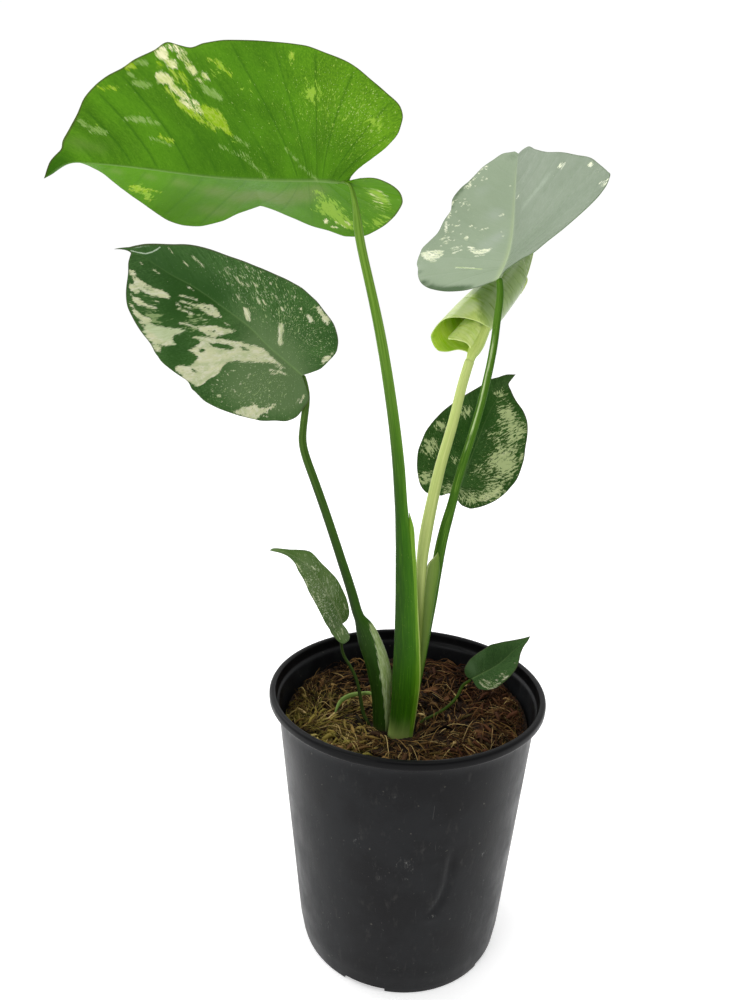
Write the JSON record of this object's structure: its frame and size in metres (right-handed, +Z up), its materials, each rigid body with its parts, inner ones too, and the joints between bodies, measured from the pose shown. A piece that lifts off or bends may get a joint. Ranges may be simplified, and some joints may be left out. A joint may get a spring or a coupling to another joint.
{
  "type": "potted variegated monstera",
  "caption": "Variegated climbing aroid with tall curved stalks, heart-shaped marbled blades and one still rolled leaf, growing in coir mix in a round black nursery pot.",
  "frame": {"origin": "centre of the pot's resting face, on the ground", "axes": "+Z up along the pot's axis; -Y is the side from which the blades are seen spread out; +X is to the right from there"},
  "size_m": [0.2645, 0.165, 0.5003],
  "materials": {
    "pot_plastic": "satin",
    "coir_mix": "matte",
    "root": "matte",
    "green_stalk": "satin",
    "young_leaf": "satin",
    "bright_leaf": "satin",
    "dark_leaf": "satin",
    "silver_leaf": "satin"
  },
  "bodies": {
    "root": {"nursery_pot": "pot_plastic", "potting_mix": "coir_mix", "rootstock": "root", "petiole_1": "green_stalk", "petiole_2": "green_stalk", "petiole_3": "green_stalk", "petiole_4": "young_leaf", "petiole_5": "green_stalk", "petiole_6": "green_stalk", "petiole_7": "green_stalk", "cataphyll": "young_leaf", "leaf_1": "bright_leaf", "leaf_2": "dark_leaf", "leaf_3": "silver_leaf", "leaf_4": "young_leaf", "leaf_5": "dark_leaf", "leaf_6": "dark_leaf", "leaf_7": "dark_leaf"}
  },
  "joints": []
}
